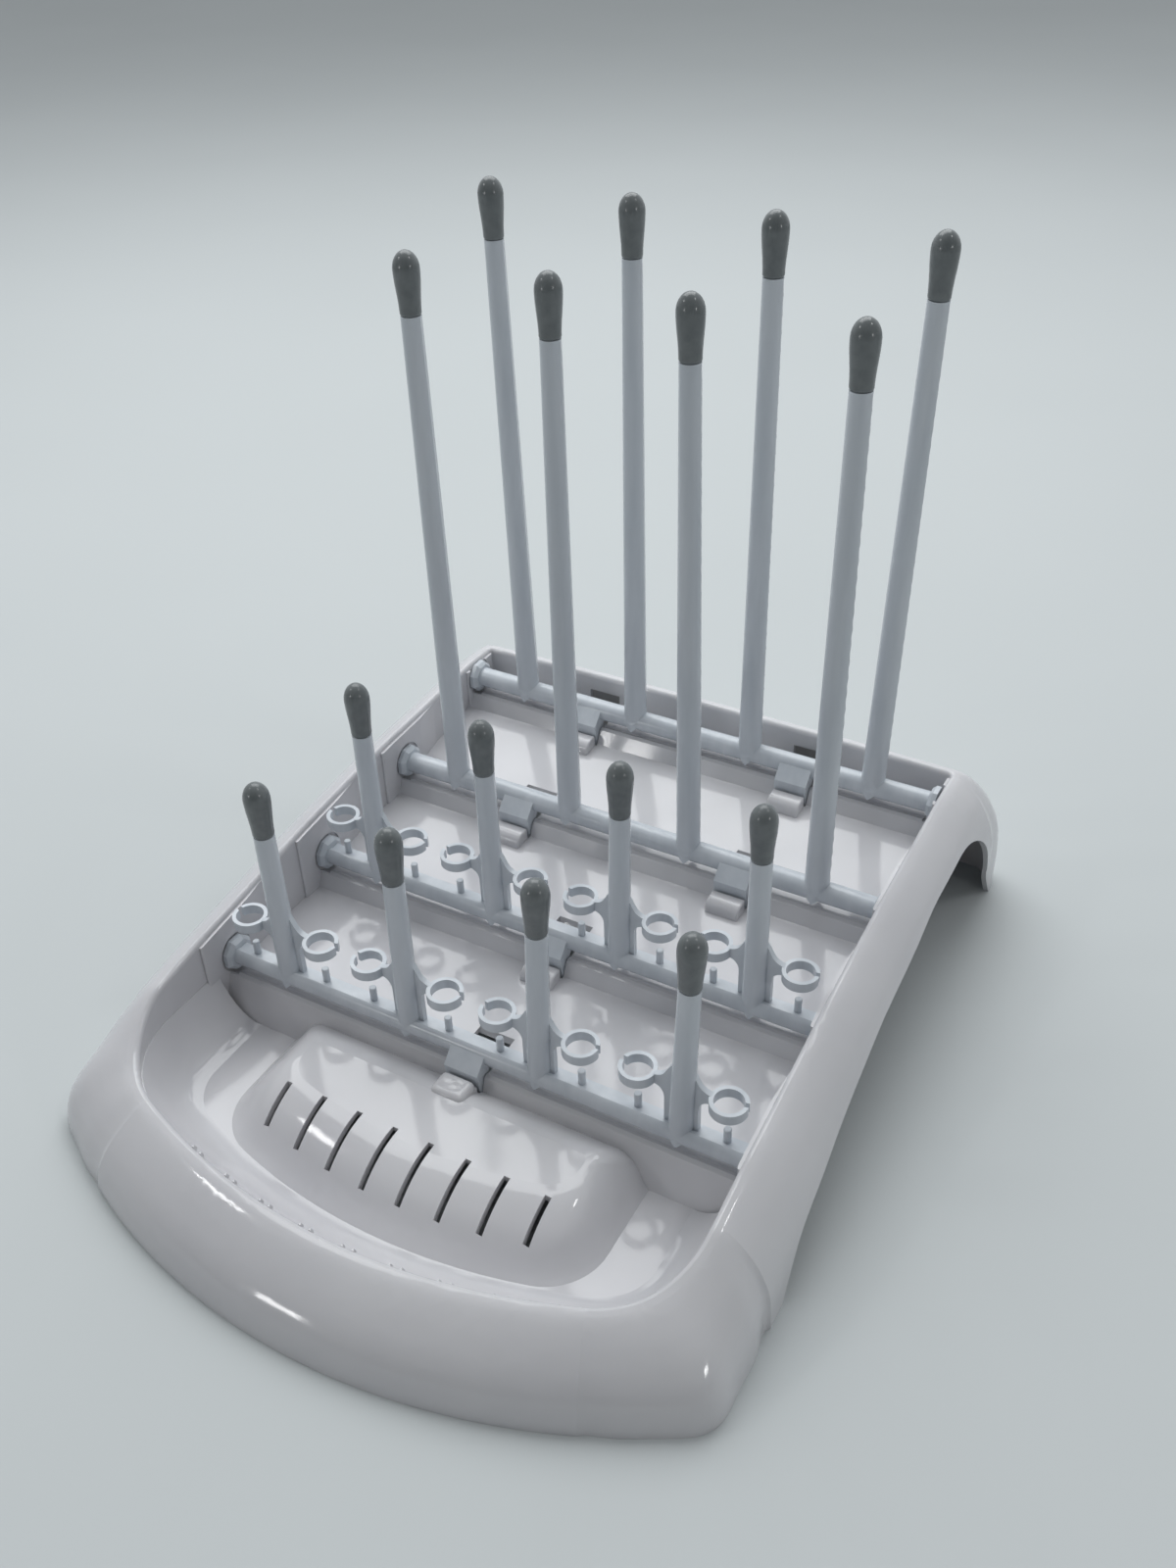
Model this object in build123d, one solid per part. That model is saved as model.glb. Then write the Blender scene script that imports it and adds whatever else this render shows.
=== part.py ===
from build123d import *
import math
import os

os.makedirs("parts", exist_ok=True)

# Rows of pegs, front row first: where each bar turns, and how far its pegs reach above it
ROW_NAMES = ("row1", "row2", "row3", "row4")
ROW_Y = (-50.0, 10.0, 70.0, 130.0)
ROW_Z = (27.7, 34.3, 42.8, 53.3)
SHORT_REACH = 90.0
TALL_REACH = 223.0
ROW_REACH = (SHORT_REACH, SHORT_REACH, TALL_REACH, TALL_REACH)
PEG_PITCH = 55.0
PEG_COUNT = 4
# Small sideways lean of single warped pegs in degrees, left peg first
ROW_LEAN = ((0.0, 0.7, 1.9, 1.9), (0.0, 0.0, 1.0, 0.0), (-0.5, 0.0, -0.8, 0.0), (-1.1, 0.0, 0.0, 1.1))

# Bars and pegs
BAR_R = 4.4
PEG_TOP_R = 3.85
SHORT_BASE_R = 4.4
TALL_BASE_R = 4.95
PEG_FOOT = 4.2
COLLAR_R = 7.4
COLLAR_SMALL_R = 6.0
COLLAR_T = 3.3
COLLAR_GAP = 0.6
COLLAR_CLEAR = 0.9
PIN_R = 3.0
PIN_CLEAR = 0.06
PIN_LEN = 2.6
RECESS_DEEP = 1.0
COLLAR_SINK = 0.4

# Grey tips over a thinner neck at the head of each peg
CAP_LEN = 22.4
CAP_R = 4.85
CAP_FOOT_R = 3.95
CAP_EDGE = 1.0
CAP_BELLY = 15.8
NECK_R = 2.4
NECK_LEN = 14.0

# Ring brackets on the short pegs
RING_DX = 16.6
RING_DY = 1.0
RING_TOP = 22.4
RING_T = 4.0
RING_R = 6.7
RING_HOLE_R = 5.2
RING_GAP = 1.8
RING_GAP_TURN = 10.0
WEB_T = 2.2
WEB_TOP = 33.0
WEB_HALF = 6.3
POST_R = 1.4
POST_H = 5.5
STRIP_Z = 3.5
STRIP_Y = 2.6
STRIP_STEP = 0.6
STRIP_STEP_Y = 0.8

# Stop blocks under the bars and the noses of the tray that they lean on
BLOCK_HALF = 7.0
BLOCK_TOP_Y = 4.8
BLOCK_TOP_Z = 1.0
BLOCK_FRONT_Y = 9.4
BLOCK_FRONT_Z = -3.6
BLOCK_FOOT_Z = -13.5
BLOCK_FOOT_Y = 8.2
BLOCK_REACH = 16.4
WINDOW_CLEAR = 0.5
NOSE_LEN = 8.0
NOSE_GAP = 0.15
NOSE_TOP = -8.0
NOSE_R = 4.5
BLOCK_X = ((0.0,), (0.0,), (-50.0, 50.0), (-50.0, 50.0))

# Tray plan: crest of the rim, seen from above
CREST_X = 113.5
CREST_REAR_Y = 145.5
CREST_REAR_R = 4.0
CREST_CORNER_R = 41.0
CREST_BOW_R = 240.0
CREST_BOW_Y = 98.0
LIP = 2.5
LIP_R = 1.9
# Tray plan: line on which it stands
FOOT_X = 132.5
FOOT_REAR_Y = 167.0
FOOT_REAR_R = 12.0
FOOT_CORNER_R = 14.0
FOOT_BOW_R = 241.0
FOOT_BOW_Y = 74.0
WALL = 2.2

# Height of the crest along the sides, from behind to the front corner
SIDE_Y = (141.5, 120.0, 100.0, 80.0, 60.0, 40.0, 20.0, 0.0, -20.0, -40.0, -60.0, -76.0)
SIDE_Z = (60.4, 61.0, 60.2, 59.4, 58.6, 57.3, 55.4, 53.4, 50.6, 47.6, 45.0, 42.4)
REAR_Z = (61.8, 61.5, 60.4)
CORNER_TURN = (0.0, 10.0, 18.0, 24.0, 29.0, 34.0, 39.0, 45.0, 52.0, 60.0)
CORNER_Z = (40.2, 37.7, 35.4, 33.7, 32.3, 31.1, 30.1, 29.2, 28.7, 28.3)
BOW_Z = (28.0, 27.4, 26.8, 26.5)

# Terraced floor: heights and places relative to each bar's axis
FLOOR_T = 2.2
LEDGE_Y = -3.9
LEDGE_Z = -6.4
LEDGE_BACK_Z = -7.2
RISER_TOP_Y = -5.6
RISER_TOP_Z = -7.0
RISER_FOOT_Y = -8.5
RISER_FOOT_Z = -12.8
APPROACH_Y = 7.0
CHANNEL_Z = 5.0
CHANNEL_BACK_Y = -61.0

# Raised drip hump in the front channel: level, front reach from the bow's centre, half width, rear line, corner radius
HUMP = (
    (3.0, 223.0, 79.0, -50.0, 24.0),
    (5.0, 218.5, 76.0, -50.5, 23.0),
    (8.0, 214.5, 73.0, -51.5, 22.0),
    (12.0, 210.5, 70.0, -53.5, 20.0),
    (15.0, 207.0, 67.5, -57.0, 18.0),
    (18.0, 202.0, 64.5, -61.5, 16.0),
    (20.0, 197.0, 61.5, -65.0, 14.0),
    (21.0, 191.0, 57.5, -69.0, 12.0),
)
HUMP_REAR_SHARE = 0.3
SLIT_X = (7.4, 22.5, 37.7, 53.5)
SLIT_BACK_Y = -89.3
SLIT_FRONT_R = 209.6
SLIT_W = 2.4

# Bearing panels on the inner side walls
PANEL_PROUD = 1.2
PANEL_FRONT = (-16.5, -16.5, -16.5, -8.5)
PANEL_BACK = 11.7
PANEL_RAMP = 12.3

# Lower edge of the arch cut from each side skirt
ARCH = ((-77.0, 0.0), (-73.0, 8.0), (-64.0, 17.8), (-48.5, 23.7), (-29.6, 29.7), (-4.4, 36.0), (16.0, 39.8),
        (58.0, 44.6), (76.0, 46.6), (101.0, 47.4), (122.0, 46.0), (130.5, 40.6), (138.0, 27.0), (147.8, 5.3),
        (150.5, 0.0))

# Outward run as a share of the skirt's width, against the drop below the crest
SIDE_SKIN = ((0.08, 0.6), (0.237, 2.5), (0.447, 6.0), (0.658, 11.0), (0.816, 16.5), (0.921, 22.0), (0.974, 28.0))
REAR_SKIN = ((0.06, 0.4), (0.16, 2.0), (0.30, 6.0), (0.452, 12.0), (0.64, 21.0), (0.78, 29.0), (0.88, 37.0))
FRONT_SKIN = ((0.06, 0.35), (0.20, 1.9), (0.40, 5.0), (0.60, 8.8), (0.78, 13.3), (0.90, 17.8), (0.97, 22.0))


def mix(a, b, share):
    return tuple((p[0] + (q[0] - p[0]) * share, p[1] + (q[1] - p[1]) * share) for p, q in zip(a, b))


def ray_to_circle(px, py, nx, ny, cx, cy, r):
    dx = px - cx
    dy = py - cy
    b = dx * nx + dy * ny
    c = dx * dx + dy * dy - r * r
    return -b + math.sqrt(max(b * b - c, 0.0))


def skirt_width(px, py, nx, ny):
    bow_x = FOOT_X - FOOT_CORNER_R
    bow_y = FOOT_BOW_Y - math.sqrt((FOOT_BOW_R - FOOT_CORNER_R) ** 2 - bow_x ** 2)
    rear_x = FOOT_X - FOOT_REAR_R
    rear_y = FOOT_REAR_Y - FOOT_REAR_R
    if nx > 0.01:
        t = (FOOT_X - px) / nx
        if bow_y <= py + ny * t <= rear_y:
            return t
    if ny > 0.01:
        t = (FOOT_REAR_Y - py) / ny
        if px + nx * t <= rear_x:
            return t
        return ray_to_circle(px, py, nx, ny, rear_x, rear_y, FOOT_REAR_R)
    t = ray_to_circle(px, py, nx, ny, 0.0, FOOT_BOW_Y, FOOT_BOW_R)
    if (px + nx * t) * (FOOT_BOW_Y - bow_y) <= bow_x * (FOOT_BOW_Y - py - ny * t):
        return t
    return ray_to_circle(px, py, nx, ny, bow_x, bow_y, FOOT_CORNER_R)


def section_plane(px, py, pz, nx, ny):
    return Plane(origin=(px, py, pz), x_dir=(nx, ny, 0), z_dir=(ny, -nx, 0))


def skin_section(px, py, pz, turn, skin):
    nx = math.cos(math.radians(turn))
    ny = math.sin(math.radians(turn))
    w = skirt_width(px, py, nx, ny)
    run = [(0.0 - LIP + LIP_R, 0.0)] + [(u * w, -d) for u, d in skin] + [(w, -pz)]
    outer = Spline(*run)
    arc_x = -LIP + LIP_R * (1 - math.sqrt(0.5))
    arc_y = -LIP_R * (1 - math.sqrt(0.5))
    lip = ThreePointArc((-LIP, -LIP_R), (arc_x, arc_y), (LIP_R - LIP, 0.0))
    foot = Line((w, -pz), (-LIP, -pz))
    inner = Line((-LIP, -pz), (-LIP, -LIP_R))
    return section_plane(px, py, pz, nx, ny) * make_face([inner, lip, outer, foot])


def void_section(px, py, pz, turn, skin):
    nx = math.cos(math.radians(turn))
    ny = math.sin(math.radians(turn))
    w = skirt_width(px, py, nx, ny)
    run = [(u * w, -d) for u, d in skin] + [(w, -pz)]
    offset = []
    for (x0, y0), (x1, y1) in zip(run[:-1], run[1:]):
        length = math.hypot(x1 - x0, y1 - y0)
        ax = (y1 - y0) / length
        ay = -(x1 - x0) / length
        offset.append(((x0 + x1) / 2 + ax * WALL, (y0 + y1) / 2 + ay * WALL))
    start = (WALL - LIP, -LIP_R - WALL * 0.8)
    points = [start] + [p for p in offset if p[0] > start[0] + 0.8] + [(w - WALL, -pz - 1.0)]
    roof = Spline(*points)
    foot = Line((w - WALL, -pz - 1.0), (WALL - LIP, -pz - 1.0))
    inner = Line((WALL - LIP, -pz - 1.0), start)
    return section_plane(px, py, pz, nx, ny) * make_face([inner, roof, foot])


def band(stations, ruled=False):
    solid = loft([skin_section(*s) for s in stations], ruled=ruled)
    hollow = loft([void_section(*s) for s in stations], ruled=ruled)
    return solid - hollow


corner_cx = CREST_X - CREST_CORNER_R
corner_cy = CREST_BOW_Y - math.sqrt((CREST_BOW_R - CREST_CORNER_R) ** 2 - corner_cx ** 2)
bow_turn = math.degrees(math.atan2(corner_cx, CREST_BOW_Y - corner_cy))
rear_cx = CREST_X - CREST_REAR_R
rear_cy = CREST_REAR_Y - CREST_REAR_R

rear_stations = [
    (x, CREST_REAR_Y, z, 90.0, REAR_SKIN)
    for x, z in zip((0.0, rear_cx / 2, rear_cx), REAR_Z)
]
rear_corner = []
for turn in (90.0, 70.0, 45.0, 20.0, 0.0):
    a = math.radians(turn)
    rear_corner.append((rear_cx + CREST_REAR_R * math.cos(a), rear_cy + CREST_REAR_R * math.sin(a),
                        REAR_Z[2], turn, mix(SIDE_SKIN, REAR_SKIN, turn / 90.0)))
side_stations = [(CREST_X, y, z, 0.0, SIDE_SKIN) for y, z in zip(SIDE_Y, SIDE_Z)]
side_stations.append((CREST_X, corner_cy, CORNER_Z[0], 0.0, SIDE_SKIN))
corner_stations = []
for turn, z in zip(CORNER_TURN, CORNER_Z):
    a = math.radians(turn)
    corner_stations.append((corner_cx + CREST_CORNER_R * math.cos(a), corner_cy - CREST_CORNER_R * math.sin(a),
                            z, -turn, mix(SIDE_SKIN, FRONT_SKIN, turn / (90.0 - bow_turn))))
for share, z in zip((1.0, 0.66, 0.33, 0.0), BOW_Z):
    a = math.radians(bow_turn * share)
    corner_stations.append((CREST_BOW_R * math.sin(a), CREST_BOW_Y - CREST_BOW_R * math.cos(a),
                            z, -90.0 + bow_turn * share, FRONT_SKIN))



def solid_band():
    groups = (rear_stations, rear_corner, side_stations, corner_stations[:len(CORNER_TURN) + 1],
              corner_stations[len(CORNER_TURN):])
    bands = [band(g) for g in groups]
    return bands[0] + bands[1:]


def both_sides(shape):
    return shape + shape.mirror(Plane.YZ)


def pan_outline(grow):
    half_x = CREST_X - LIP + grow
    rear_y = CREST_REAR_Y - LIP + grow
    r_corner = CREST_CORNER_R - LIP + grow
    r_bow = CREST_BOW_R - LIP + grow
    a = math.radians(bow_turn)
    b = math.radians((bow_turn + 90.0) / 2)
    joint = (corner_cx + r_corner * math.sin(a), corner_cy - r_corner * math.cos(a))
    bend = (corner_cx + r_corner * math.sin(b), corner_cy - r_corner * math.cos(b))
    tip = (0.0, CREST_BOW_Y - r_bow)
    right = [
        Line((0.0, rear_y), (half_x, rear_y)),
        Line((half_x, rear_y), (half_x, corner_cy)),
        ThreePointArc((half_x, corner_cy), bend, joint),
    ]
    bow = ThreePointArc(joint, tip, (-joint[0], joint[1]))
    left = [edge.mirror(Plane.YZ) for edge in right]
    return make_face(right + [bow] + left)


def floor_line():
    points = [(CREST_REAR_Y, ROW_Z[3] + LEDGE_BACK_Z + 0.6)]
    for y, z in reversed(list(zip(ROW_Y, ROW_Z))):
        points += [
            (y + APPROACH_Y, z + LEDGE_BACK_Z),
            (y - 1.9, z + LEDGE_BACK_Z - 0.1),
            (y + LEDGE_Y, z + LEDGE_Z),
            (y + RISER_TOP_Y, z + RISER_TOP_Z),
            (y + RISER_FOOT_Y, z + RISER_FOOT_Z),
        ]
    points[-1] = (CHANNEL_BACK_Y, CHANNEL_Z)
    points.append((-150.0, CHANNEL_Z))
    return points


def along_x(points, x0, x1):
    return extrude(Plane.YZ.offset(x0) * make_face(Polyline(*points, close=True)), x1 - x0)


def hump_outline(z, front_r, half_x, rear_y, r, shrink):
    front_r -= shrink
    half_x -= shrink
    rear_y += shrink * 0.2
    r -= shrink * 0.5
    side_y = CREST_BOW_Y - math.sqrt((front_r - r) ** 2 - (half_x - r) ** 2)
    a = math.atan2(half_x - r, CREST_BOW_Y - side_y)
    b = (a + math.pi / 2) / 2
    joint = (half_x - r + r * math.sin(a), side_y - r * math.cos(a))
    bend = (half_x - r + r * math.sin(b), side_y - r * math.cos(b))
    q = r * HUMP_REAR_SHARE
    rear_bend = (half_x - q + q * math.sqrt(0.5), rear_y - q + q * math.sqrt(0.5))
    right = [
        Line((0.0, rear_y), (half_x - q, rear_y)),
        ThreePointArc((half_x - q, rear_y), rear_bend, (half_x, rear_y - q)),
        Line((half_x, rear_y - q), (half_x, side_y)),
        ThreePointArc((half_x, side_y), bend, joint),
        ThreePointArc(joint, (joint[0] / 2, CREST_BOW_Y - math.sqrt(front_r ** 2 - (joint[0] / 2) ** 2)),
                      (0.0, CREST_BOW_Y - front_r)),
    ]
    left = [edge.mirror(Plane.YZ) for edge in right]
    return Plane.XY.offset(z) * make_face(right + left)


def crest_profile():
    points = [(CREST_REAR_Y, REAR_Z[2])] + list(zip(SIDE_Y, SIDE_Z)) + [(corner_cy, CORNER_Z[0])]
    return [(y, z - LIP_R) for y, z in points]


def bearing_panels():
    below = crest_profile()
    lid = along_x(below + [(below[-1][0], 0.0), (below[0][0], 0.0)], 0.0, CREST_X)
    wall_x = CREST_X - LIP
    face_x = wall_x - PANEL_PROUD
    back_x = wall_x + WALL / 2
    panels = []
    for y, front in zip(ROW_Y, PANEL_FRONT):
        back = min(y + PANEL_BACK, CREST_REAR_Y - LIP + 0.5)
        far = min(back + PANEL_RAMP, CREST_REAR_Y - LIP + 0.5)
        outline = Polyline((back_x, y + front), (face_x + 0.4, y + front), (face_x, y + front + 0.9), (face_x, back),
                           (wall_x, far), (back_x, far), close=True)
        panels.append(extrude(make_face(outline), 100.0))
    return (panels[0] + panels[1:]) & lid


def stop_noses():
    noses = []
    for y, z, places in zip(ROW_Y, ROW_Z, BLOCK_X):
        rear = y - BLOCK_FRONT_Y - NOSE_GAP
        top = z + NOSE_TOP
        base = z + RISER_FOOT_Z - 1.5
        for x in places:
            nose = Pos(x, rear - NOSE_LEN / 2, (top + base) / 2) * Box(2 * BLOCK_HALF, NOSE_LEN, top - base)
            nose = fillet(nose.edges().filter_by(Axis.X).group_by(Axis.Z)[-1].group_by(Axis.Y)[0], NOSE_R)
            nose = fillet(nose.edges().filter_by(Axis.X).group_by(Axis.Z)[-1], 0.8)
            nose = fillet(nose.edges().filter_by(Axis.Z), 0.8)
            noses.append(nose)
    return noses


def bearing_cuts():
    wall_x = CREST_X - LIP
    recess_x = wall_x - PANEL_PROUD + RECESS_DEEP
    inner_x = bar_half - COLLAR_T - COLLAR_CLEAR
    cuts = []
    for y, z in zip(ROW_Y, ROW_Z):
        for side in (-1, 1):
            span = recess_x - inner_x
            cuts.append(Pos(side * (recess_x - span / 2), y, z) * Rot(0, 90, 0)
                        * Cylinder(COLLAR_R + COLLAR_CLEAR, span))
            depth = wall_x + WALL + 0.3 - recess_x
            cuts.append(Pos(side * (recess_x + depth / 2), y, z) * Rot(0, 90, 0)
                        * Cylinder(PIN_R + PIN_CLEAR, depth + 0.4))
    return cuts


def block_windows():
    reach = BLOCK_REACH + WINDOW_CLEAR
    half = BLOCK_HALF + WINDOW_CLEAR
    cuts = []
    for y, z, places in zip(ROW_Y, ROW_Z, BLOCK_X):
        front = y - BLOCK_FRONT_Y - NOSE_GAP
        for x in places:
            swept = Pos(x, y, z) * Rot(0, 90, 0) * Cylinder(reach, 2 * half)
            keep = Pos(x, front + reach, z - reach / 2) * Box(2 * half, 2 * reach, reach)
            cuts.append(swept & keep)
    return cuts


def drip_slits():
    cuts = []
    for x in SLIT_X:
        front = CREST_BOW_Y - math.sqrt(SLIT_FRONT_R ** 2 - x ** 2)
        length = SLIT_BACK_Y - front
        for side in (-1, 1):
            cuts.append(Pos(side * x, SLIT_BACK_Y - length / 2, 15.0) * Box(SLIT_W, length, 30.0))
    return cuts


def build_tray():
    rim = both_sides(solid_band())
    top = floor_line()
    under = [(y, z - FLOOR_T) for y, z in top]
    low = -5.0
    slab = along_x(top + list(reversed(under)), -CREST_X, CREST_X) & extrude(pan_outline(0.6), 80.0)
    beneath = along_x(under + [(under[-1][0], low), (under[0][0], low)], -CREST_X, CREST_X)
    beneath = beneath & extrude(Plane.XY.offset(low) * pan_outline(WALL + 0.2), 90.0)
    hump = loft([hump_outline(*row, 0.0) for row in HUMP])
    hollow = loft([hump_outline(row[0] - WALL, *row[1:], WALL) for row in HUMP])
    front_y = ROW_Y[0] + RISER_TOP_Y - 0.8
    ahead = Pos(0, front_y - 100.0, 0) * Box(300.0, 200.0, 200.0)
    panels = bearing_panels()
    tray = (rim + [panels, panels.mirror(Plane.YZ)] - beneath) + slab + (hump & ahead)
    tray = tray - (hollow & (Pos(0, -1.6, 0) * ahead))
    tray = tray + stop_noses()
    tray = tray - bearing_cuts() - block_windows() - drip_slits()
    sill = Polyline(ARCH[-1], (ARCH[-1][0], low), (ARCH[0][0], low), ARCH[0])
    opening = extrude(Plane.YZ.offset(CREST_X) * make_face([Spline(*ARCH), *sill.edges()]), FOOT_X)
    tray = tray - [opening, opening.mirror(Plane.YZ)]
    return tray & (Pos(0, 0, 100.0) * Box(400.0, 400.0, 200.0))


bar_half = CREST_X - LIP - PANEL_PROUD + COLLAR_SINK


def peg_places():
    return [(k - (PEG_COUNT - 1) / 2) * PEG_PITCH for k in range(PEG_COUNT)]


def cap_shape():
    foot = CAP_FOOT_R
    bend = CAP_EDGE * (1 - math.sqrt(0.5))
    dome = CAP_LEN - CAP_BELLY
    profile = [
        Line((0.0, 0.0), (foot - CAP_EDGE, 0.0)),
        ThreePointArc((foot - CAP_EDGE, 0.0), (foot - bend, bend), (foot, CAP_EDGE)),
        Spline((foot, CAP_EDGE), (foot + 0.2, CAP_BELLY * 0.35), (CAP_R - 0.22, CAP_BELLY * 0.7), (CAP_R, CAP_BELLY)),
        Spline((CAP_R, CAP_BELLY), (CAP_R * 0.924, CAP_BELLY + dome * 0.383), (CAP_R * 0.707, CAP_BELLY + dome * 0.707),
               (CAP_R * 0.383, CAP_BELLY + dome * 0.924), (0.0, CAP_LEN)),
        Line((0.0, CAP_LEN), (0.0, 0.0)),
    ]
    solid = revolve(Plane.XZ * make_face(profile), Axis.Z)
    return solid - Pos(0, 0, NECK_LEN / 2) * Cylinder(NECK_R, NECK_LEN)


def peg_frame(row, k):
    return Pos(peg_places()[k], ROW_Y[row], ROW_Z[row]) * Rot(0, ROW_LEAN[row][k], 0)


def peg(row, k):
    reach = ROW_REACH[row]
    base_r = SHORT_BASE_R if reach == SHORT_REACH else TALL_BASE_R
    shoulder = reach - CAP_LEN
    profile = Polyline((0.0, -PEG_FOOT), (base_r, -PEG_FOOT), (base_r, 0.0), (PEG_TOP_R, shoulder),
                       (NECK_R, shoulder), (NECK_R, shoulder + NECK_LEN), (0.0, shoulder + NECK_LEN), close=True)
    stem = revolve(Plane.XZ * make_face(profile), Axis.Z)
    half = base_r + 1.0
    point = Polyline((-half, half - PEG_FOOT), (0.0, -PEG_FOOT), (half, half - PEG_FOOT), (half, reach), (-half, reach),
                     close=True)
    return peg_frame(row, k) * (stem & extrude(Plane.XZ * make_face(point), half, both=True))


def ring_bracket(side):
    low = RING_TOP - RING_T
    ring = Pos(side * RING_DX, RING_DY, low + RING_T / 2) * (Cylinder(RING_R, RING_T) - Cylinder(RING_HOLE_R, RING_T))
    gap = Pos(RING_R, 0, 0) * Box(RING_R, RING_GAP, RING_T * 2)
    turn = RING_GAP_TURN if side > 0 else 180.0 - RING_GAP_TURN
    ring = ring - Pos(side * RING_DX, RING_DY, RING_TOP - RING_T / 2) * Rot(0, 0, turn) * gap
    inner = RING_DX - RING_R + 0.8
    edge = [
        Spline((2.0, WEB_TOP), (4.6, WEB_TOP - 4.6), (7.2, RING_TOP + 1.6), (inner, RING_TOP),
               tangents=((0.3, -1.0), (1.0, -0.25))),
        Line((inner, RING_TOP), (inner, low)),
        Spline((inner, low), (WEB_HALF + 1.2, low - 1.4), (WEB_HALF, low - 5.0), tangents=((-1.0, 0.0), (0.0, -1.0))),
        Line((WEB_HALF, low - 5.0), (WEB_HALF, 1.0)),
        Line((WEB_HALF, 1.0), (0.0, 1.0)),
        Line((0.0, 1.0), (2.0, WEB_TOP)),
    ]
    web = extrude(Plane.XZ.offset(-RING_DY) * make_face(edge), WEB_T / 2, both=True)
    if side < 0:
        web = web.mirror(Plane.YZ)
    post = Pos(side * RING_DX, RING_DY, STRIP_Z + POST_H / 2 - 0.6) * Cylinder(POST_R, POST_H + 1.2)
    post = fillet(post.edges().group_by(Axis.Z)[-1], 0.5)
    return [ring, web, post]


def stop_block(x):
    outline = Polyline((-0.5, 2.5), (-2.6, 3.2), (-BLOCK_TOP_Y, BLOCK_TOP_Z), (-BLOCK_FRONT_Y, BLOCK_FRONT_Z),
                       (-BLOCK_FOOT_Y, BLOCK_FOOT_Z), (-BLOCK_FOOT_Y + 1.4, BLOCK_FOOT_Z), (0.5, -3.0), close=True)
    return Pos(x, 0, 0) * extrude(Plane.YZ.offset(-BLOCK_HALF) * make_face(outline), 2 * BLOCK_HALF)


def build_bar(row):
    short = ROW_REACH[row] == SHORT_REACH
    bar = Rot(0, 90, 0) * Cylinder(BAR_R, 2 * (bar_half - COLLAR_T))
    if short:
        length = 2 * (bar_half - COLLAR_T)
        flat = Pos(0, STRIP_Y, STRIP_Z + BAR_R) * Box(length, 2 * BAR_R + STRIP_STEP_Y, 2 * BAR_R)
        step = Pos(0, BAR_R - STRIP_STEP_Y, STRIP_Z + BAR_R - STRIP_STEP) * Box(length, 2 * BAR_R, 2 * BAR_R)
        bar = bar - flat - step
    pieces = []
    for side in (-1, 1):
        small = Plane(origin=(side * (bar_half - COLLAR_T), 0, 0), x_dir=(0, 1, 0), z_dir=(side, 0, 0))
        collar = loft([small * RegularPolygon(COLLAR_SMALL_R, 8, rotation=22.5),
                       small.offset(COLLAR_T * 0.45) * RegularPolygon(COLLAR_R, 8, rotation=22.5),
                       small.offset(COLLAR_T) * RegularPolygon(COLLAR_R, 8, rotation=22.5)], ruled=True)
        pin = Pos(side * (bar_half + PIN_LEN / 2 - 0.5), 0, 0) * Rot(0, 90, 0) * Cylinder(PIN_R, PIN_LEN + 1.0)
        pieces += [collar, pin]
    pieces += [stop_block(x) for x in BLOCK_X[row]]
    if short:
        for x in peg_places():
            for side in (-1, 1):
                pieces += [Pos(x, 0, 0) * part for part in ring_bracket(side)]
    bar = Pos(0, ROW_Y[row], ROW_Z[row]) * (bar + pieces)
    return bar + [peg(row, k) for k in range(PEG_COUNT)]


def build_cap(row, k):
    return peg_frame(row, k) * Pos(0, 0, ROW_REACH[row] - CAP_LEN) * cap_shape()


export_step(build_tray(), "parts/tray.step")
for row, name in enumerate(ROW_NAMES):
    export_step(build_bar(row), "parts/" + name + "_bar.step")
    for k in range(PEG_COUNT):
        export_step(build_cap(row, k), "parts/" + name + "_cap" + str(k + 1) + ".step")
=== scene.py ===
import bpy
import math
from mathutils import Matrix, Vector


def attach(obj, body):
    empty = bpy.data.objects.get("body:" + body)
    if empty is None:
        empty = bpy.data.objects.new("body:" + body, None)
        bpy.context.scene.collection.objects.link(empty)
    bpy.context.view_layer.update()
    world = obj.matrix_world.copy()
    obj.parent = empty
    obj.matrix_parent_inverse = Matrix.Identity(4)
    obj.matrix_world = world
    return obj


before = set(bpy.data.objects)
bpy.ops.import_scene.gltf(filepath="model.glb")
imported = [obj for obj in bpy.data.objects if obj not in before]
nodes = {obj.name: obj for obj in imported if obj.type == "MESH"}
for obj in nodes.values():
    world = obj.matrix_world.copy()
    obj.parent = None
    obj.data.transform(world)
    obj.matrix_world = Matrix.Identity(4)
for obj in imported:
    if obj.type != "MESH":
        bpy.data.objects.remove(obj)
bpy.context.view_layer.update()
scene = bpy.context.scene

# Tray: one injection moulding in warm, glossy white plastic that is faintly mottled. Its skin has a
# fine grain and a very slight waviness, so that long highlights break up as on real moulded plastic.
TRAY_SHADES = ((0.35, (0.590, 0.585, 0.608)), (0.70, (0.660, 0.656, 0.672)))
TRAY_ROUGHNESS = (0.06, 0.13)
PLASTIC_IOR = 1.49
GRAIN_DEPTH = 0.0002
WAVE_DEPTH = 0.001


def new_finish(name):
    finish = bpy.data.materials.new(name)
    finish.use_nodes = True
    tree = finish.node_tree
    coord = tree.nodes.new("ShaderNodeTexCoord")
    return finish, tree, tree.nodes["Principled BSDF"], coord.outputs["Object"]


def noise(tree, place, scale, detail):
    texture = tree.nodes.new("ShaderNodeTexNoise")
    texture.inputs["Scale"].default_value = scale
    texture.inputs["Detail"].default_value = detail
    tree.links.new(place, texture.inputs["Vector"])
    return texture.outputs["Fac"]


def mottle(tree, shader, pattern, shades):
    ramp = tree.nodes.new("ShaderNodeValToRGB")
    for stop, (position, colour) in zip(ramp.color_ramp.elements, shades):
        stop.position = position
        stop.color = (*colour, 1.0)
    tree.links.new(pattern, ramp.inputs["Fac"])
    tree.links.new(ramp.outputs["Color"], shader.inputs["Base Color"])


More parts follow.
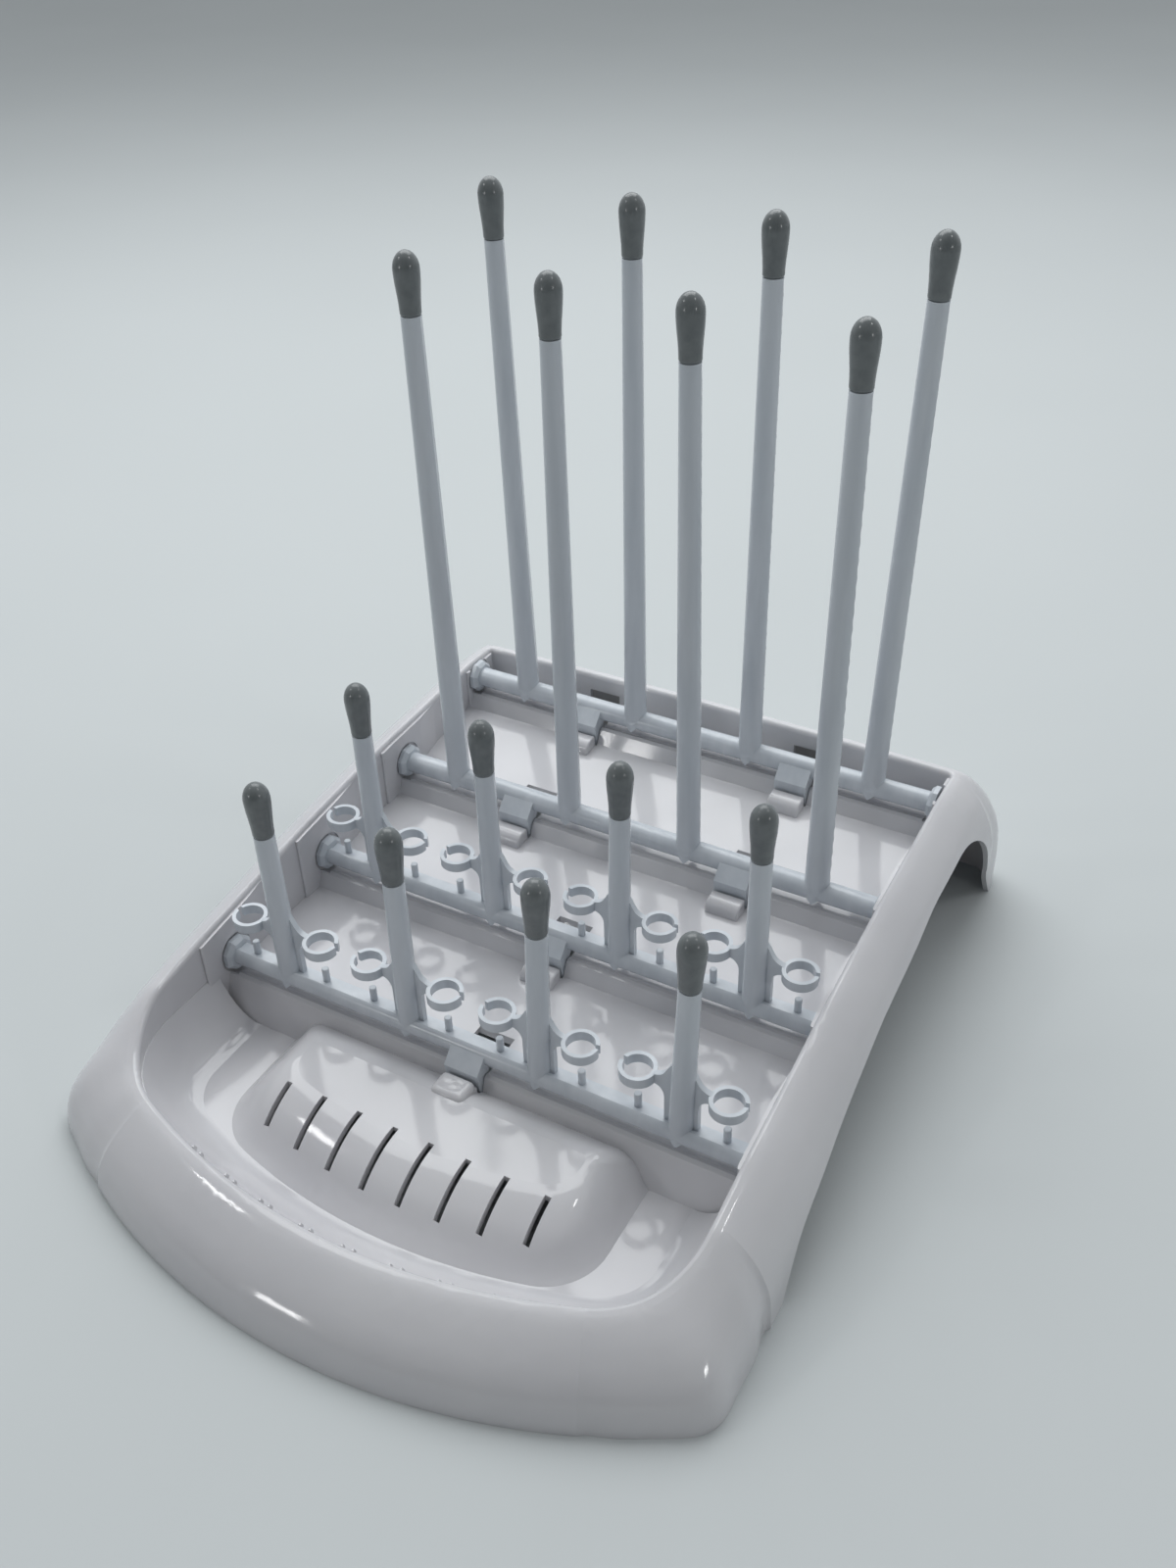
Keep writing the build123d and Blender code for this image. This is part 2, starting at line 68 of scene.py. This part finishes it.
def relief(tree, pattern, strength, depth):
    bump = tree.nodes.new("ShaderNodeBump")
    bump.inputs["Strength"].default_value = strength
    bump.inputs["Distance"].default_value = depth
    tree.links.new(pattern, bump.inputs["Height"])
    return bump


def skin(tree, shader, pattern, roughness, strength):
    gloss = tree.nodes.new("ShaderNodeMapRange")
    gloss.inputs["To Min"].default_value = roughness[0]
    gloss.inputs["To Max"].default_value = roughness[1]
    tree.links.new(pattern, gloss.inputs["Value"])
    tree.links.new(gloss.outputs["Result"], shader.inputs["Roughness"])
    grain = relief(tree, pattern, strength, GRAIN_DEPTH)
    tree.links.new(grain.outputs["Normal"], shader.inputs["Normal"])
    return grain


def let_light_in(shader, weight, radius):
    shader.inputs["IOR"].default_value = PLASTIC_IOR
    shader.inputs["Subsurface Weight"].default_value = weight
    shader.inputs["Subsurface Radius"].default_value = radius
    shader.inputs["Subsurface Scale"].default_value = 1.0


def give_finish(piece, finish):
    piece.data.materials.clear()
    piece.data.materials.append(finish)


tray_finish, tree, shader, place = new_finish("tray_plastic")
mottle(tree, shader, noise(tree, place, scale=9.0, detail=4.0), TRAY_SHADES)
tray_grain = skin(tree, shader, noise(tree, place, scale=420.0, detail=3.0), TRAY_ROUGHNESS, strength=0.05)
tray_wave = relief(tree, noise(tree, place, scale=28.0, detail=2.0), strength=0.10, depth=WAVE_DEPTH)
tree.links.new(tray_wave.outputs["Normal"], tray_grain.inputs["Normal"])
let_light_in(shader, weight=0.08, radius=(0.004, 0.0035, 0.003))
give_finish(nodes["tray"], tray_finish)

# Channel sweep: part of the tray's moulding, the soft curve where the floor of the channel turns up
# into the side and front walls. One section, with its inset from the wall and its height in metres,
# is carried along the right wall, round the corner, across the bowed front and back on the left.
WALL_X = 0.111
CORNER_X = 0.0725
CORNER_R = WALL_X - CORNER_X
BOW_R = 0.2375
BOW_Y = 0.098
SWEEP_BACK_Y = -0.0612
SWEEP_SECTION = ((0.0200, 0.0048), (0.0165, 0.0052), (0.0135, 0.0060), (0.0102, 0.0080),
                 (0.0072, 0.0110), (0.0046, 0.0150), (0.0026, 0.0190), (0.0013, 0.0220),
                 (0.0003, 0.0244), (-0.0006, 0.0244), (-0.0006, 0.0046))
SIDE_STEPS = 4
CORNER_STEPS = 14
BOW_STEPS = 24
SMOOTH_ANGLE = math.radians(40)
UP = (0, 0, 1)


def extrude_along_side(distance):
    for _ in range(SIDE_STEPS):
        bpy.ops.mesh.extrude_region_move(TRANSFORM_OT_translate={"value": (0, distance / SIDE_STEPS, 0)})


def add_to_tray(piece, name):
    piece.name = name
    piece.data.materials.append(tray_finish)
    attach(piece, "tray")


bow_turn = math.asin(CORNER_X / (BOW_R - CORNER_R))
corner_turn = math.pi / 2 - bow_turn
corner_y = BOW_Y - (BOW_R - CORNER_R) * math.cos(bow_turn)
side_length = SWEEP_BACK_Y - corner_y
bpy.ops.object.select_all(action="DESELECT")
bpy.ops.mesh.primitive_circle_add(vertices=len(SWEEP_SECTION), fill_type="NGON", location=(0, 0, 0))
sweep = bpy.context.object
for corner, (inset, z) in zip(sweep.data.vertices, SWEEP_SECTION):
    corner.co = (WALL_X - inset, SWEEP_BACK_Y, z)
bpy.ops.object.mode_set(mode="EDIT")
bpy.ops.mesh.select_mode(type="FACE")
bpy.ops.mesh.select_all(action="SELECT")
extrude_along_side(-side_length)
bpy.ops.mesh.spin(steps=CORNER_STEPS, angle=corner_turn, center=(CORNER_X, corner_y, 0), axis=UP)
bpy.ops.mesh.spin(steps=BOW_STEPS, angle=2 * bow_turn, center=(0, BOW_Y, 0), axis=UP)
bpy.ops.mesh.spin(steps=CORNER_STEPS, angle=corner_turn, center=(-CORNER_X, corner_y, 0), axis=UP)
extrude_along_side(side_length)
bpy.ops.mesh.select_all(action="SELECT")
bpy.ops.mesh.normals_make_consistent(inside=False)
bpy.ops.object.mode_set(mode="OBJECT")
bpy.ops.object.shade_smooth_by_angle(angle=SMOOTH_ANGLE)
add_to_tray(sweep, "channel_sweep")

# Front studs: eight pairs of tiny three-sided studs, moulded on the sweep just below the front lip.
# One stud is modelled and copied to each place along the bow of the wall.
PAIR_X = (0.0084, 0.0260, 0.0428, 0.0605)
PAIR_SPACING = 0.0042
STUD_Z = 0.0226
STUD_INSET = 0.0012
STUD_FOOT_R = 0.0016
STUD_HEAD_R = 0.0006
STUD_HEIGHT = 0.0024
bpy.ops.object.select_all(action="DESELECT")
bpy.ops.mesh.primitive_cone_add(vertices=3, radius1=STUD_FOOT_R, radius2=STUD_HEAD_R, depth=STUD_HEIGHT,
                                location=(0, 0, 0))
stud = bpy.context.object
bpy.ops.object.select_all(action="DESELECT")
for side in (-1, 1):
    for pair_x in PAIR_X:
        for shift in (-PAIR_SPACING / 2, PAIR_SPACING / 2):
            x = side * pair_x + shift
            y = BOW_Y - math.sqrt((BOW_R - STUD_INSET) ** 2 - x ** 2)
            twin = stud.copy()
            twin.data = stud.data.copy()
            twin.location = (x, y, STUD_Z)
            scene.collection.objects.link(twin)
            twin.select_set(True)
bpy.data.objects.remove(stud)
bpy.context.view_layer.objects.active = twin
bpy.ops.object.join()
bpy.ops.object.transform_apply(location=True, rotation=True, scale=True)
add_to_tray(bpy.context.object, "front_studs")

# Tongue of row 1: the rounded stop of the tray's moulding that stands on the hump, in front of the
# block under the first bar.
TONGUE_PLACE = (0.0, -0.0649, 0.0195)
TONGUE_SIZE = (0.0140, 0.0104, 0.0062)
TONGUE_ROUNDING = 0.0024
bpy.ops.object.select_all(action="DESELECT")
bpy.ops.mesh.primitive_cube_add(size=1.0, location=TONGUE_PLACE)
tongue = bpy.context.object
tongue.scale = TONGUE_SIZE
bpy.ops.object.transform_apply(location=True, rotation=True, scale=True)
bevel = tongue.modifiers.new("rounding", "BEVEL")
bevel.width = TONGUE_ROUNDING
bevel.segments = 4
bpy.ops.object.modifier_apply(modifier="rounding")
bpy.ops.object.shade_smooth_by_angle(angle=SMOOTH_ANGLE)
add_to_tray(tongue, "row1_tongue")

# Four bars with their pegs: each is moulded in one piece, in a cooler and slightly duller white than
# the tray, with faint flow marks that run up the pegs.
ROWS = range(1, 5)
BAR_SHADES = ((0.30, (0.560, 0.600, 0.645)), (0.75, (0.640, 0.675, 0.715)))
BAR_ROUGHNESS = (0.14, 0.24)
FLOW_STRETCH = (60.0, 60.0, 6.0)
bar_finish, tree, shader, place = new_finish("peg_plastic")
stretch = tree.nodes.new("ShaderNodeMapping")
stretch.inputs["Scale"].default_value = FLOW_STRETCH
tree.links.new(place, stretch.inputs["Vector"])
mottle(tree, shader, noise(tree, stretch.outputs["Vector"], scale=3.0, detail=3.0), BAR_SHADES)
skin(tree, shader, noise(tree, place, scale=500.0, detail=2.0), BAR_ROUGHNESS, strength=0.06)
let_light_in(shader, weight=0.05, radius=(0.003, 0.003, 0.003))
for row in ROWS:
    give_finish(nodes[f"row{row}_bar"], bar_finish)

# Sixteen tips: soft mid-grey plastic with a satin skin and a very slight speckle, each pushed over
# the thinner neck at the head of its peg.
PEGS = range(1, 5)
TIP_SHADES = ((0.30, (0.142, 0.158, 0.161)), (0.75, (0.182, 0.198, 0.202)))
TIP_ROUGHNESS = (0.15, 0.24)
tip_finish, tree, shader, place = new_finish("tip_plastic")
speckle = noise(tree, place, scale=240.0, detail=3.0)
mottle(tree, shader, speckle, TIP_SHADES)
skin(tree, shader, speckle, TIP_ROUGHNESS, strength=0.10)
for row in ROWS:
    for peg in PEGS:
        give_finish(nodes[f"row{row}_cap{peg}"], tip_finish)

# Floor: a wide, pale and matt sheet of paper that keeps the soft shadow.
FLOOR_SIZE = 9.0
FLOOR_SHADES = ((0.0, (0.545, 0.575, 0.58)), (1.0, (0.585, 0.615, 0.62)))
FLOOR_ROUGHNESS = 0.8
floor_finish, tree, shader, place = new_finish("floor_paper")
mottle(tree, shader, noise(tree, place, scale=3.0, detail=2.0), FLOOR_SHADES)
shader.inputs["Roughness"].default_value = FLOOR_ROUGHNESS
bpy.ops.mesh.primitive_plane_add(size=FLOOR_SIZE, location=(0, 0, 0))
floor = bpy.context.object
floor.name = "floor"
floor.data.materials.append(floor_finish)

# Lamps: a wide softbox overhead, behind and to the left makes the soft shadows, and four small
# panels around the object make the small glints on the tips and the thin bright lines on the rim.
SOFTBOX_PLACE = Vector((-0.42, 0.70, 1.35))
SOFTBOX_AIM = Vector((0, 0.02, 0.05))
SOFTBOX_COLOUR = (0.97, 0.99, 1.0)
PANEL_DISTANCE = 1.6
PANEL_DIRECTIONS = (
    ("panel_high_left", (-0.60, -0.36, 0.73)),
    ("panel_high_right", (0.49, 0.13, 0.86)),
    ("panel_low_left", (-0.43, -0.87, 0.25)),
    ("panel_low_right", (0.90, -0.28, 0.35)),
)


def area_lamp(name, place, aim, width, height, watts):
    bpy.ops.object.light_add(type="AREA", location=place)
    lamp = bpy.context.object
    lamp.name = name
    lamp.data.shape = "RECTANGLE"
    lamp.data.size = width
    lamp.data.size_y = height
    lamp.data.energy = watts
    lamp.rotation_euler = (aim - place).to_track_quat("-Z", "Y").to_euler()
    return lamp


softbox = area_lamp("top_softbox", SOFTBOX_PLACE, SOFTBOX_AIM, width=1.6, height=1.1, watts=16.5)
softbox.data.color = SOFTBOX_COLOUR
for name, direction in PANEL_DIRECTIONS:
    panel_place = Vector(direction) * PANEL_DISTANCE
    area_lamp(name, panel_place, Vector((0, 0, 0)), width=0.20, height=0.11, watts=1.1)

# Surround: soft light from all sides, brighter from behind and from the left than from the front.
# The camera itself sees an even grey.
AMBIENT = 0.44
AMBIENT_BACK = 0.36
AMBIENT_RIGHT = -0.14
AMBIENT_COLOUR = (0.93, 0.97, 1.0, 1)
BACKDROP_COLOUR = (0.40, 0.43, 0.445, 1)
world = bpy.data.worlds.new("surround")
scene.world = world
world.use_nodes = True
tree = world.node_tree
tree.nodes.clear()
output = tree.nodes.new("ShaderNodeOutputWorld")
path = tree.nodes.new("ShaderNodeLightPath")
coord = tree.nodes.new("ShaderNodeTexCoord")
slope = tree.nodes.new("ShaderNodeVectorMath")
slope.operation = "DOT_PRODUCT"
slope.inputs[1].default_value = (AMBIENT_RIGHT, AMBIENT_BACK, 0.0)
level = tree.nodes.new("ShaderNodeMath")
level.operation = "ADD"
level.inputs[1].default_value = AMBIENT
ambient = tree.nodes.new("ShaderNodeBackground")
ambient.inputs["Color"].default_value = AMBIENT_COLOUR
backdrop = tree.nodes.new("ShaderNodeBackground")
backdrop.inputs["Color"].default_value = BACKDROP_COLOUR
choice = tree.nodes.new("ShaderNodeMixShader")
tree.links.new(coord.outputs["Generated"], slope.inputs[0])
tree.links.new(slope.outputs["Value"], level.inputs[0])
tree.links.new(level.outputs["Value"], ambient.inputs["Strength"])
tree.links.new(path.outputs["Is Camera Ray"], choice.inputs[0])
tree.links.new(ambient.outputs[0], choice.inputs[1])
tree.links.new(backdrop.outputs[0], choice.inputs[2])
tree.links.new(choice.outputs[0], output.inputs["Surface"])

# Camera: the photo's own viewpoint, solved from the grid of pegs, as a place, a direction seen from
# the object, a roll about the view axis and a lens.
CAMERA_PLACE = (0.218923, -0.341836, 0.409457)
AZIMUTH = math.radians(29.947)
ELEVATION = math.radians(36.321)
ROLL = math.radians(-1.815)
LENS = 33.09
SENSOR = 36.0
back = Vector((math.sin(AZIMUTH) * math.cos(ELEVATION),
               -math.cos(AZIMUTH) * math.cos(ELEVATION),
               math.sin(ELEVATION)))
right = (-back).cross(Vector((0, 0, 1))).normalized()
up = right.cross(-back)
right_rolled = right * math.cos(ROLL) + up * math.sin(ROLL)
up_rolled = up * math.cos(ROLL) - right * math.sin(ROLL)
bpy.ops.object.camera_add(location=CAMERA_PLACE)
camera = bpy.context.object
camera.name = "photo_camera"
camera.rotation_euler = Matrix((right_rolled, up_rolled, back)).transposed().to_euler()
camera.data.sensor_fit = "AUTO"
camera.data.sensor_width = SENSOR
camera.data.lens = LENS
camera.data.clip_start = 0.01
camera.data.clip_end = 30.0
scene.camera = camera
scene.view_settings.view_transform = "Standard"
